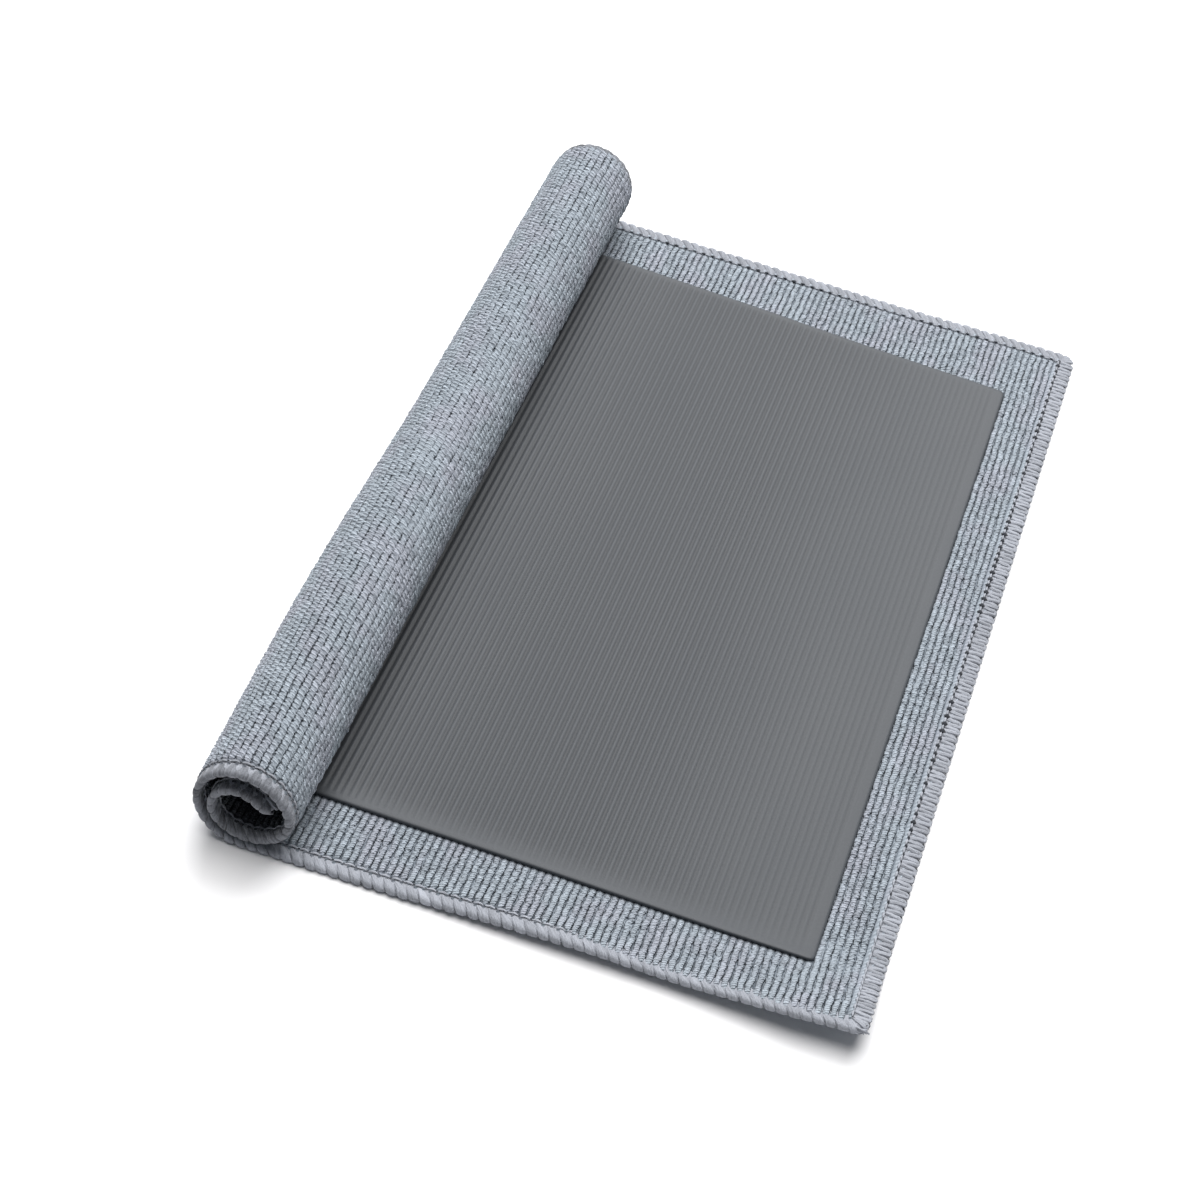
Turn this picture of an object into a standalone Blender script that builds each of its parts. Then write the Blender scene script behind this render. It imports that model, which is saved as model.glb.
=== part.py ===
"""Clay towel: a nearly square ribbed cloth with an overlocked edge and a thin rubber clay pad on one face.

The right-hand part lies flat, and the left-hand part is rolled up with the pad inside. Every piece is laid
out flat first: u runs from the right-hand edge to the edge inside the roll, v runs from the front edge to the
back edge, and w is the height over the middle of the cloth, towards the pad. place() then bends it into shape.
Metres, +Z up, +Y along the roll, with the origin on the floor under the middle of the part.
"""

import math
from collections import namedtuple

import bmesh
import bpy
from mathutils import Vector

# Cloth
CLOTH_LENGTH = 0.300  # along the roll, front edge to back edge
CLOTH_THICKNESS = 0.0022
CORNER_RADIUS = 0.006
# Overlocked edge: the band of thread that wraps the cut edge of the cloth
EDGING_WIDTH = 0.0042
EDGING_ROUNDING = 0.0007
# Clay pad
PAD_THICKNESS = 0.0009
PAD_CORNER_RADIUS = 0.003
MARGIN_RIGHT = 0.0182
MARGIN_FRONT = 0.0234
MARGIN_INNER = 0.0200
MARGIN_BACK_AT_ROLL = 0.0211
MARGIN_BACK_AT_RIGHT = 0.0281
# Gaps that stand for contact between the pieces
CONTACT_GAP = 0.0003

# The section across the roll, walked from the right-hand edge. Each row is one stretch of the cloth's middle:
# a straight one has a length and no radius, and a bent one turns through its angle at its radius.
Stretch = namedtuple("Stretch", "name length radius turn steps")
SECTION = [
    Stretch("flat", 0.1685, None, 0, 0),
    Stretch("heel", None, 0.0122, 55, 4),
    Stretch("left side", None, 0.0148, 70, 5),
    Stretch("crown", None, 0.0124, 105, 7),
    Stretch("right side", None, 0.0142, 38, 3),
    Stretch("tuck", None, 0.0082, 37, 3),
    Stretch("inner floor", None, 0.0128, 55, 4),
    Stretch("inner heel", None, 0.0102, 50, 4),
    Stretch("inner left side", None, 0.0080, 80, 7),
    Stretch("inner crown", None, 0.0074, 88, 7),
    Stretch("loose end", 0.0060, None, 0, 1),
]
# The roll lies a little askew: the flat part is this much longer at the back edge
ROLL_SKEW = 0.0025

# Where the cloth strays from that section, one row for each soft swell: the direction and height it pushes the
# cloth, the place of its middle in u and v, and how far it reaches each way
Swell = namedtuple("Swell", "name direction height u v reach_u reach_v")
SWELLS = [
    Swell("front edge lifts", Vector((0, 0, 1)), 0.0027, 0.068, 0.0, 0.075, 0.030),
    Swell("front corner lifts", Vector((0, 0, 1)), 0.0070, 0.000, 0.0, 0.060, 0.034),
    Swell("front edge drawn in", Vector((0, 1, 0)), 0.0033, 0.055, 0.0, 0.165, 0.036),
    Swell("front corner drawn in", Vector((0, 1, 0)), 0.0012, 0.000, 0.0, 0.020, 0.070),
    Swell("back edge drawn out", Vector((0, 1, 0)), 0.0016, 0.085, 0.300, 0.125, 0.060),
    Swell("back corner drawn out", Vector((0, 1, 0)), 0.0028, 0.000, 0.300, 0.075, 0.060),
    Swell("roll bulges", Vector((-1, 0, 0)), 0.0016, 0.190, 0.080, 0.034, 0.100),
]

# Grid pitches: close where the cloth lifts, wide where it lies flat
CLOSE_PITCH = 0.008
WIDE_PITCH = 0.030
LONG_PITCH = 0.063
LIFTED_WIDTH = 0.062
LIFTED_DEPTH = 0.050
CORNER_STEPS = 4


def stretch_length(row):
    return row.length if row.radius is None else row.radius * math.radians(row.turn)


CLOTH_WIDTH = sum(stretch_length(row) for row in SECTION)
FLAT_LENGTH = SECTION[0].length


def window(distance, reach):
    """1 in the middle, 0 at its reach and beyond, with a soft shoulder."""
    share = min(1.0, abs(distance) / reach)
    return 0.5 + 0.5 * math.cos(math.pi * share)


def swell_push(swell, u, v):
    height = swell.height * window(u - swell.u, swell.reach_u) * window(v - swell.v, swell.reach_v)
    return height * swell.direction


def section_point(u):
    """(x, z, heading) of the cloth's middle at u, heading in radians clockwise from straight left."""
    x, z, heading = 0.0, CLOTH_THICKNESS / 2, 0.0
    walked = 0.0
    for row in SECTION:
        last = row is SECTION[-1]
        step = u - walked if last else min(u - walked, stretch_length(row))
        if row.radius is None:
            x -= step * math.cos(heading)
            z += step * math.sin(heading)
        else:
            turned = heading + step / row.radius
            x -= row.radius * (math.sin(turned) - math.sin(heading))
            z += row.radius * (math.cos(heading) - math.cos(turned))
            heading = turned
        walked += stretch_length(row)
        if u <= walked:
            break
    return x, z, heading


def place(u, v, w):
    """The point of the laid-out piece at (u, v, w), bent into the towel's shape."""
    skew = ROLL_SKEW * v / CLOTH_LENGTH
    x, z, heading = section_point(u - skew)
    point = Vector((x + w * math.sin(heading) - skew, v, z + w * math.cos(heading)))
    return point + sum((swell_push(swell, u, v) for swell in SWELLS), Vector())


def spaced(start, stop, pitch):
    """Values from start to stop, both included, at most pitch apart."""
    count = max(1, math.ceil((stop - start) / pitch - 1e-6))
    return [start + (stop - start) * i / count for i in range(count + 1)]


def bent_stations():
    """The values of u where the section's bent stretches are divided."""
    stations, walked = [], 0.0
    for row in SECTION:
        length = stretch_length(row)
        stations += [walked + length * (i + 1) / row.steps for i in range(row.steps)]
        walked += length
    return stations


def stations_u():
    """Every piece is divided at these values of u, so that their facets lie parallel."""
    near_edge = spaced(0.0, MARGIN_RIGHT, CLOSE_PITCH)
    lifted = spaced(MARGIN_RIGHT, LIFTED_WIDTH, CLOSE_PITCH)
    rest = spaced(LIFTED_WIDTH, FLAT_LENGTH, WIDE_PITCH)
    return near_edge + lifted[1:] + rest[1:] + bent_stations()


def stations_v():
    front = spaced(0.0, MARGIN_FRONT, CLOSE_PITCH)
    under_pad = spaced(MARGIN_FRONT + PAD_CORNER_RADIUS, LIFTED_DEPTH, CLOSE_PITCH)
    return front + under_pad + spaced(LIFTED_DEPTH, CLOTH_LENGTH, LONG_PITCH)[1:]


def inside(stations, low, high, clearance=0.0015):
    """low, the stations well between low and high, and high."""
    return [low] + [s for s in stations if low + clearance < s < high - clearance] + [high]


def rounded_rows(low, high, radius, stations):
    """Stations from low to high with extra ones through the rounded corners at both ends."""
    arc = [radius * (1 - math.cos(math.pi / 2 * i / CORNER_STEPS)) for i in range(CORNER_STEPS + 1)]
    middle = inside(stations, low + radius, high - radius)
    return [low + a for a in arc[:-1]] + middle + [high - a for a in reversed(arc[:-1])]


def corner_inset(v, low, high, radius):
    """How far a rounded corner draws the outline in, in u, at v."""
    depth = radius - min(v - low, high - v)
    return 0.0 if depth <= 0 else radius - math.sqrt(max(0.0, radius**2 - depth**2))


def finished_object(name, bm, colour, roughness):
    bmesh.ops.recalc_face_normals(bm, faces=bm.faces)
    mesh = bpy.data.meshes.new(name)
    bm.to_mesh(mesh)
    bm.free()
    mesh.materials.append(plain_material(name, colour, roughness))
    mesh.shade_smooth()
    mesh.set_sharp_from_angle(angle=math.radians(40))
    made = bpy.data.objects.new(name, mesh)
    bpy.context.scene.collection.objects.link(made)
    return made


def plain_material(name, colour, roughness):
    material = bpy.data.materials.new(name)
    material.use_nodes = True
    shader = material.node_tree.nodes["Principled BSDF"]
    shader.inputs["Base Color"].default_value = (*colour, 1.0)
    shader.inputs["Roughness"].default_value = roughness
    shader.inputs["Metallic"].default_value = 0.0
    return material


def sheet_body(bm, u_range, v_front, v_back, radius, w_low, w_high):
    """A closed sheet between w_low and w_high with rounded corners. v_back is a function of u."""
    u_low, u_high = u_range
    v_nominal = v_back(u_high)
    columns = inside(stations_u(), u_low + radius, u_high - radius)
    rows = rounded_rows(v_front, v_nominal, radius, stations_v())

    def outline_point(u, v, w):
        stretch = (v_back(u) - v_front) / (v_nominal - v_front)
        return place(u, v_front + (v - v_front) * stretch, w)

    layers = []
    for w in (w_low, w_high):
        layer = []
        for v in rows:
            inset = corner_inset(v, v_front, v_nominal, radius)
            row_u = [u_low + inset] + columns + [u_high - inset]
            if inset > 0.99 * radius:
                row_u = columns
            layer.append([bm.verts.new(outline_point(u, v, w)) for u in row_u])
        layers.append(layer)
    for layer in layers:
        for near, far in zip(layer, layer[1:]):
            skin_rows(bm, near, far)
    for near, far in zip(boundary(layers[0]), boundary(layers[1])):
        bm.faces.new((near[0], near[1], far[1], far[0]))


def skin_rows(bm, near, far):
    """Faces between two rows of a sheet. An end row can lack the two outermost points."""
    if len(near) == len(far):
        for i in range(len(near) - 1):
            bm.faces.new((near[i], near[i + 1], far[i + 1], far[i]))
        return
    short, long = (near, far) if len(near) < len(far) else (far, near)
    bm.faces.new((long[0], long[1], short[0]))
    for i in range(len(short) - 1):
        bm.faces.new((short[i], short[i + 1], long[i + 2], long[i + 1]))
    bm.faces.new((long[-1], long[-2], short[-1]))


def boundary(layer):
    """The sheet's outline as pairs of neighbouring points, in the same order on both layers."""
    loop = list(layer[0]) + [row[-1] for row in layer[1:]]
    loop += list(reversed(layer[-1]))[1:] + [row[0] for row in reversed(layer[1:-1])]
    return list(zip(loop, loop[1:] + loop[:1]))


def make_cloth():
    """The ribbed cloth inside its edging, as one sheet wound into the roll."""
    bm = bmesh.new()
    inset = EDGING_WIDTH + CONTACT_GAP
    half = CLOTH_THICKNESS / 2
    sheet_body(
        bm,
        (inset, CLOTH_WIDTH - inset),
        inset,
        lambda u: CLOTH_LENGTH - inset,
        CORNER_RADIUS - inset,
        -half,
        half,
    )
    return finished_object("cloth", bm, (0.36, 0.41, 0.45), 0.95)


def make_clay_pad():
    """The rubber pad bonded to the cloth's upper face, which follows it into the roll."""
    bm = bmesh.new()
    low = CLOTH_THICKNESS / 2 + CONTACT_GAP

    def back_edge(u):
        share = min(1.0, max(0.0, (FLAT_LENGTH - u) / (FLAT_LENGTH - MARGIN_RIGHT)))
        margin = MARGIN_BACK_AT_ROLL + (MARGIN_BACK_AT_RIGHT - MARGIN_BACK_AT_ROLL) * share
        return CLOTH_LENGTH - margin

    sheet_body(
        bm,
        (MARGIN_RIGHT, CLOTH_WIDTH - MARGIN_INNER),
        MARGIN_FRONT,
        back_edge,
        PAD_CORNER_RADIUS,
        low,
        low + PAD_THICKNESS,
    )
    return finished_object("clay_pad", bm, (0.10, 0.105, 0.11), 0.6)


def edging_path():
    """The cloth's outline as (u, v, outward u, outward v), once round, with rounded corners."""
    radius = CORNER_RADIUS
    sides_u = inside(stations_u(), radius, CLOTH_WIDTH - radius)
    sides_v = inside(stations_v(), radius, CLOTH_LENGTH - radius)
    turns = [math.pi / 2 * i / CORNER_STEPS for i in range(1, CORNER_STEPS)]
    path = [(u, 0.0, 0.0, -1.0) for u in sides_u]
    path += corner_path(CLOTH_WIDTH - radius, radius, -math.pi / 2, turns)
    path += [(CLOTH_WIDTH, v, 1.0, 0.0) for v in sides_v]
    path += corner_path(CLOTH_WIDTH - radius, CLOTH_LENGTH - radius, 0.0, turns)
    path += [(u, CLOTH_LENGTH, 0.0, 1.0) for u in reversed(sides_u)]
    path += corner_path(radius, CLOTH_LENGTH - radius, math.pi / 2, turns)
    path += [(0.0, v, -1.0, 0.0) for v in reversed(sides_v)]
    path += corner_path(radius, radius, math.pi, turns)
    return path


def corner_path(centre_u, centre_v, start, turns):
    found = []
    for turn in turns:
        out_u, out_v = math.cos(start + turn), math.sin(start + turn)
        found.append((centre_u + CORNER_RADIUS * out_u, centre_v + CORNER_RADIUS * out_v, out_u, out_v))
    return found


def edging_profile():
    """Cross-section of the edging as (distance in from the cut edge, w), rounded on its outer side."""
    half = CLOTH_THICKNESS / 2
    soft = EDGING_ROUNDING
    return [
        (EDGING_WIDTH, -half),
        (soft, -half),
        (0.0, soft - half),
        (0.0, half - soft),
        (soft, half),
        (EDGING_WIDTH, half),
    ]


def make_edging():
    """The thread-wrapped edge, one closed band all round the cloth."""
    bm = bmesh.new()
    rings = []
    for u, v, out_u, out_v in edging_path():
        points = [(u - out_u * depth, v - out_v * depth, w) for depth, w in edging_profile()]
        rings.append([bm.verts.new(place(*point)) for point in points])
    for here, there in zip(rings, rings[1:] + rings[:1]):
        for i in range(len(here)):
            j = (i + 1) % len(here)
            bm.faces.new((here[i], here[j], there[j], there[i]))
    return finished_object("overlocked_edge", bm, (0.40, 0.41, 0.43), 0.9)


def stand_on_origin(objects):
    """Moves the pieces together until the middle of their box's underside is at the origin."""
    corners = [vertex.co for piece in objects for vertex in piece.data.vertices]
    low = Vector(min(c[axis] for c in corners) for axis in range(3))
    high = Vector(max(c[axis] for c in corners) for axis in range(3))
    shift = Vector((-(low.x + high.x) / 2, -(low.y + high.y) / 2, -low.z))
    for piece in objects:
        for vertex in piece.data.vertices:
            vertex.co += shift


def main():
    for existing in list(bpy.data.objects):
        bpy.data.objects.remove(existing)
    stand_on_origin([make_cloth(), make_clay_pad(), make_edging()])


if __name__ == "__main__":
    main()
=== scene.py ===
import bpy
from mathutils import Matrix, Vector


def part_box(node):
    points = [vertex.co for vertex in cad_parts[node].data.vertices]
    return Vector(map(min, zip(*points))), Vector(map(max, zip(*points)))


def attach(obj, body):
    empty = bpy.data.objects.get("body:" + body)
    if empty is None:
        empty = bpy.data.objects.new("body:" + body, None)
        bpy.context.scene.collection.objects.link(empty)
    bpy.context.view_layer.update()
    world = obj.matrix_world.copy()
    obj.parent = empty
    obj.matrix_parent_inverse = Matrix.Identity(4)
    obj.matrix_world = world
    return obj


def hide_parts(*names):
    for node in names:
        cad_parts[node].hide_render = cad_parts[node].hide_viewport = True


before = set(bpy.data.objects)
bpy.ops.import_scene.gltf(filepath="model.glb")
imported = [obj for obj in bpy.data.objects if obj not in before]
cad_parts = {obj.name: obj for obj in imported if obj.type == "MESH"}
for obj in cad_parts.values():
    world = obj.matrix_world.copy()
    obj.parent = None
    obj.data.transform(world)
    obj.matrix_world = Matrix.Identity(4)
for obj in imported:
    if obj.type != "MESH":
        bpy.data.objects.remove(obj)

"""Finish of the clay towel: a ribbed knit with an overlocked edge and a rubber clay pad, half rolled up.

Every piece is laid out flat first: u runs from the right-hand edge to the edge inside the roll, v from the
front edge to the back edge, and w is the height over the middle of the cloth, towards the pad. placed() then
bends it as the solid part is bent. Metres, +Z up. The layout below repeats the solid part's own sizes.
"""

import math
from collections import namedtuple

import bmesh
import bpy
import numpy as np
from mathutils import Matrix, Vector

bl_info = {
    "name": "Clay Towel",
    "version": (1, 0, 0),
    "blender": (4, 5, 0),
    "location": "View3D > Sidebar > Towel",
    "description": "Builds a half-rolled clay towel: knit, clay pad, overlocked edge and stage",
    "category": "Add Mesh",
}

MM = 0.001
BODY = "root"

# The solid part's layout
CLOTH_LENGTH = 0.300
CLOTH_THICKNESS = 0.0022
HALF_CLOTH = CLOTH_THICKNESS / 2
CORNER_RADIUS = 0.004
EDGING_WIDTH = 0.0042
SEAM_DEPTH = 0.0050
PAD_THICKNESS = 0.0009
PAD_CORNER_RADIUS = 0.0018
PAD_LOW = HALF_CLOTH + 0.0003
PAD_HIGH = PAD_LOW + PAD_THICKNESS
MARGIN_RIGHT = 0.0182
MARGIN_FRONT = 0.0234
MARGIN_INNER = 0.0200
MARGIN_BACK_AT_ROLL = 0.0211
MARGIN_BACK_AT_RIGHT = 0.0281
ROLL_SKEW = 0.0025

Stretch = namedtuple("Stretch", "name length radius turn")
SECTION = [
    Stretch("flat", 0.1685, None, 0),
    Stretch("heel", None, 0.0122, 55),
    Stretch("left side", None, 0.0148, 70),
    Stretch("crown", None, 0.0124, 105),
    Stretch("right side", None, 0.0142, 38),
    Stretch("tuck", None, 0.0082, 37),
    Stretch("inner floor", None, 0.0128, 55),
    Stretch("inner heel", None, 0.0102, 50),
    Stretch("inner left side", None, 0.0080, 80),
    Stretch("inner crown", None, 0.0074, 88),
    Stretch("loose end", 0.0060, None, 0),
]
Swell = namedtuple("Swell", "name direction height u v reach_u reach_v")
SWELLS = [
    Swell("front edge lifts", (0, 0, 1), 0.0027, 0.068, 0.0, 0.075, 0.030),
    Swell("front corner lifts", (0, 0, 1), 0.0070, 0.000, 0.0, 0.060, 0.034),
    Swell("front edge drawn in", (0, 1, 0), 0.0033, 0.055, 0.0, 0.165, 0.036),
    Swell("front corner drawn in", (0, 1, 0), 0.0012, 0.000, 0.0, 0.020, 0.070),
    Swell("back edge drawn out", (0, 1, 0), 0.0016, 0.085, 0.300, 0.125, 0.060),
    Swell("back corner drawn out", (0, 1, 0), 0.0028, 0.000, 0.300, 0.075, 0.060),
    Swell("roll bulges", (-1, 0, 0), 0.0016, 0.190, 0.080, 0.034, 0.100),
]


def stretch_length(row):
    return row.length if row.radius is None else row.radius * math.radians(row.turn)


FLAT_LENGTH = SECTION[0].length
CLOTH_WIDTH = sum(stretch_length(row) for row in SECTION)
ROLL_OUTSIDE_END = FLAT_LENGTH + sum(stretch_length(row) for row in SECTION[1:6])
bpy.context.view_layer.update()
EDGE_LOW, EDGE_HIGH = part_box("overlocked_edge")
FLATTENED = 0.05 * MM  # soft loops and threads press flat this far above the floor
FRONT_RIGHT = np.array([EDGE_HIGH.x, EDGE_LOW.y, EDGE_LOW.z])


# Bending the layout


def window(distance, reach):
    """1 in the middle, 0 at its reach and beyond, with a soft shoulder."""
    return 0.5 + 0.5 * np.cos(np.pi * np.minimum(1.0, np.abs(distance) / reach))


def swell_push(swell, u, v):
    height = swell.height * window(u - swell.u, swell.reach_u) * window(v - swell.v, swell.reach_v)
    return height[:, None] * np.array(swell.direction)


def walk(row, step, x, z, heading):
    """(x, z, heading) after a step along one stretch of the section."""
    if row.radius is None:
        return x - step * math.cos(heading), z + step * math.sin(heading), heading + 0 * step
    turned = heading + step / row.radius
    x = x - row.radius * (np.sin(turned) - math.sin(heading))
    z = z + row.radius * (math.cos(heading) - np.cos(turned))
    return x, z, turned


def section_at(u):
    """x, z and heading of the cloth's middle for an array of u."""
    found = np.zeros((3,) + u.shape)
    start, walked = (0.0, HALF_CLOTH, 0.0), 0.0
    for row in SECTION:
        beyond = (u >= walked) | (row is SECTION[0])
        found[:, beyond] = walk(row, u[beyond] - walked, *start)
        start = walk(row, stretch_length(row), *start)
        walked += stretch_length(row)
    return found


def placed(lay):
    """The points of an (n, 3) array of (u, v, w), bent into the towel's shape."""
    u, v, w = lay.T
    skew = ROLL_SKEW * v / CLOTH_LENGTH
    x, z, heading = section_at(u - skew)
    points = np.stack([x + w * np.sin(heading) - skew, v, z + w * np.cos(heading)], axis=1)
    points += FRONT_RIGHT + sum(swell_push(swell, u, v) for swell in SWELLS)
    points[:, 2] = np.maximum(points[:, 2], FLATTENED)
    return points


def smooth(low, high, value):
    """0 below low, 1 above high, with an S-shaped step between."""
    share = np.clip((value - low) / (high - low), 0.0, 1.0)
    return share * share * (3 - 2 * share)


# Meshes


class Blocks:
    """Points and faces gathered block by block and made into one object."""

    def __init__(self):
        self.points, self.notes, self.faces, self.total = [], [], [], 0

    def add(self, lay, note, *faces):
        """lay is (n, 3) of u, v, w. note is (n, 4): u, v, shade and relief, 0 for dark and 1 for light. A low
        relief paints shade into the colour.
        """
        self.points.append(placed(lay))
        self.notes.append(note)
        self.faces += [block + self.total for block in faces]
        self.total += len(lay)

    def made(self, name, material, slot):
        points, notes = np.concatenate(self.points), np.concatenate(self.notes)
        corners = np.concatenate([block.ravel() for block in self.faces])
        sizes = np.concatenate([np.full(len(block), block.shape[1]) for block in self.faces])
        mesh = bpy.data.meshes.new(name)
        mesh.vertices.add(len(points))
        mesh.vertices.foreach_set("co", points.astype(np.float32).ravel())
        mesh.loops.add(len(corners))
        mesh.loops.foreach_set("vertex_index", corners.astype(np.int32))
        mesh.polygons.add(len(sizes))
        mesh.polygons.foreach_set("loop_start", (np.cumsum(sizes) - sizes).astype(np.int32))
        mesh.update(calc_edges=True)
        lay = mesh.attributes.new("lay", "FLOAT_VECTOR", "POINT")
        lay.data.foreach_set("vector", notes[:, :3].astype(np.float32).ravel())
        relief = mesh.attributes.new("relief", "FLOAT", "POINT")
        relief.data.foreach_set("value", notes[:, 3].astype(np.float32))
        return finished(name, mesh, material)


def finished(name, mesh, material):
    """Turns the faces outwards, shades them smooth and links the piece to the part's body."""
    bm = bmesh.new()
    bm.from_mesh(mesh)
    bmesh.ops.recalc_face_normals(bm, faces=bm.faces)
    bm.to_mesh(mesh)
    bm.free()
    mesh.shade_smooth()
    mesh.materials.append(material)
    piece = bpy.data.objects.new(name, mesh)
    bpy.context.scene.collection.objects.link(piece)
    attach(piece, BODY)
    return piece


def grid_faces(rows, columns, start=0):
    """Quads between neighbouring rows and columns of a grid of points."""
    index = start + np.arange(rows * columns).reshape(rows, columns)
    quads = [index[:-1, :-1], index[:-1, 1:], index[1:, 1:], index[1:, :-1]]
    return np.stack(quads, axis=-1).reshape(-1, 4)


def rim_faces(rows, columns):
    """Quads that join the outlines of two equal grids, one stored after the other."""
    index = np.arange(rows * columns).reshape(rows, columns)
    loop = np.concatenate([index[0], index[1:, -1], index[-1, -2::-1], index[-2:0:-1, 0]])
    ahead = np.roll(loop, -1)
    return np.stack([loop, ahead, ahead + rows * columns, loop + rows * columns], axis=1)


def sheet_faces(rows, columns):
    """The lower and the upper grid of a sheet, and the rim between them."""
    lower, upper = grid_faces(rows, columns), grid_faces(rows, columns, rows * columns)
    return lower, upper, rim_faces(rows, columns)


def tube_faces(tubes, stations, ring):
    """Quads along each tube, and a cap at each of its ends."""
    index = np.arange(tubes * stations * ring).reshape(tubes, stations, ring)
    turned = np.roll(index, -1, axis=2)
    quads = np.stack([index[:, :-1], turned[:, :-1], turned[:, 1:], index[:, 1:]], axis=-1)
    caps = np.concatenate([index[:, 0], index[:, -1, ::-1]])
    return quads.reshape(-1, 4), caps


NOTE_STEP = 0.01  # between the notes of neighbouring tubes, so that their fibres differ


def add_tubes(blocks, centres, across, over, width, height, shade, ring=6, lift=1.0):
    """Flattened tubes. centres, across and over are (tubes, stations, 3) in the layout. width and height are
    half sizes along across and over, one for each station. shade is one number for each tube or station, and
    lift is 1, or 0 for a hollow painted dark all over as shade. Their note has the place across and along the
    tube as its u and v, and a relief that paints shade on the side of each tube away from over."""
    tubes, stations = centres.shape[:2]
    turns = 2 * math.pi * (np.arange(ring) + 0.5) / ring
    width = np.broadcast_to(width, (tubes, stations))[..., None]
    height = np.broadcast_to(height, (tubes, stations))[..., None]
    wide = (np.cos(turns) * width)[..., None] * across[:, :, None]
    high = (np.sin(turns) * height)[..., None] * over[:, :, None]
    step = np.linalg.norm(np.diff(centres, axis=1, prepend=centres[:, :1]), axis=-1)
    shape = (tubes, stations, ring)
    # the relief note paints shade on the side of each tube away from over, and all over a hollow when lift is
    # 0
    note = np.stack([
        np.cos(turns) * width + NOTE_STEP * np.arange(tubes)[:, None, None],
        np.broadcast_to(np.cumsum(step, axis=1)[..., None], shape),
        np.broadcast_to(shade.reshape(tubes, -1, 1), shape),
        np.broadcast_to(lift * (0.5 + 0.5 * np.sin(turns)), shape),
    ], axis=-1)
    lay = centres[:, :, None] + wide + high
    blocks.add(lay.reshape(-1, 3), note.reshape(-1, 4), *tube_faces(tubes, stations, ring))


# Materials


class Number:
    """A number socket. Arithmetic on it adds Math nodes to its tree."""

    def __init__(self, finish, socket):
        self.finish, self.socket = finish, socket

    def maths(self, operation, *values):
        node = self.finish.node("ShaderNodeMath", {"operation": operation}, dict(enumerate(values)))
        return Number(self.finish, node.outputs[0])

    def __add__(self, other):
        return self.maths("ADD", self, other)

    def __radd__(self, other):
        return self.maths("ADD", other, self)

    def __sub__(self, other):
        return self.maths("SUBTRACT", self, other)

    def __rsub__(self, other):
        return self.maths("SUBTRACT", other, self)

    def __mul__(self, other):
        return self.maths("MULTIPLY", self, other)

    def __rmul__(self, other):
        return self.maths("MULTIPLY", other, self)

    def __truediv__(self, other):
        return self.maths("DIVIDE", self, other)

    def fract(self):
        return self.maths("FRACT", self)

    def cosine(self):
        return self.maths("COSINE", self)


class Finish:
    """One material and the calls that add nodes to it."""

    def __init__(self, name, **constants):
        self.material = bpy.data.materials.new(name)
        self.material.use_nodes = True
        self.tree = self.material.node_tree
        self.surface = self.tree.nodes["Principled BSDF"]
        for socket, value in constants.items():
            self.surface.inputs[socket.replace("_", " ")].default_value = value

    def node(self, kind, settings=None, sockets=None):
        """Adds a node. Settings are set first, then its sockets by name or number, to values or links."""
        node = self.tree.nodes.new(kind)
        for setting, value in (settings or {}).items():
            setattr(node, setting, value)
        for socket, value in (sockets or {}).items():
            self.feed(node.inputs[socket], value)
        return node

    def feed(self, socket, value):
        if isinstance(value, Number):
            value = value.socket
        if isinstance(value, bpy.types.NodeSocket):
            self.tree.links.new(value, socket)
        else:
            socket.default_value = value

    def number(self, node, output=0):
        return Number(self, node.outputs[output])

    def lay(self):
        """The layout note of the surface: its vector, then rib place, loop place and shade."""
        vector = self.node("ShaderNodeAttribute", {"attribute_name": "lay"}).outputs["Vector"]
        parts = self.node("ShaderNodeSeparateXYZ", None, {0: vector})
        return vector, [self.number(parts, axis) for axis in range(3)]

    # relief: 0 where painted shade darkens the colour most, 1 for none
    def relief(self):
        return self.number(self.node("ShaderNodeAttribute", {"attribute_name": "relief"}), "Fac")

    def noise(self, vector, stretch, detail=2.0, roughness=0.5):
        """Noise from 0 to 1. stretch is how many lumps there are to a metre along u, v and w."""
        settings = {"operation": "MULTIPLY"}
        scaled = self.node("ShaderNodeVectorMath", settings, {0: vector, 1: stretch}).outputs[0]
        sockets = {"Vector": scaled, "Scale": 1.0, "Detail": detail, "Roughness": roughness}
        return self.number(self.node("ShaderNodeTexNoise", None, sockets))

    def step(self, value, low, high):
        """0 below low, 1 above high, smooth between."""
        sockets = {"Value": value, "From Min": low, "From Max": high}
        node = self.node("ShaderNodeMapRange", {"interpolation_type": "SMOOTHSTEP"}, sockets)
        return self.number(node)

    def mixed(self, share, near, far):
        """A colour from near to far as share goes from 0 to 1."""
        settings = {"data_type": "RGBA", "blend_type": "MIX"}
        node = self.node("ShaderNodeMix", settings, {"Factor": share})
        self.feed(node.inputs[6], near)
        self.feed(node.inputs[7], far)
        return node.outputs[2]

    def shaded(self, colour, value):
        """A colour made lighter or darker by a number."""
        grey = self.node("ShaderNodeCombineColor", None, {0: value, 1: value, 2: value}).outputs[0]
        settings = {"data_type": "RGBA", "blend_type": "MULTIPLY"}
        node = self.node("ShaderNodeMix", settings, {"Factor": 1.0})
        self.feed(node.inputs[6], colour)
        self.feed(node.inputs[7], grey)
        return node.outputs[2]

    def bump(self, height, distance, strength=1.0):
        sockets = {"Height": height, "Distance": distance, "Strength": strength}
        normal = self.node("ShaderNodeBump", None, sockets).outputs[0]
        self.feed(self.surface.inputs["Normal"], normal)


def colour(rgb):
    return (*rgb, 1.0)


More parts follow.
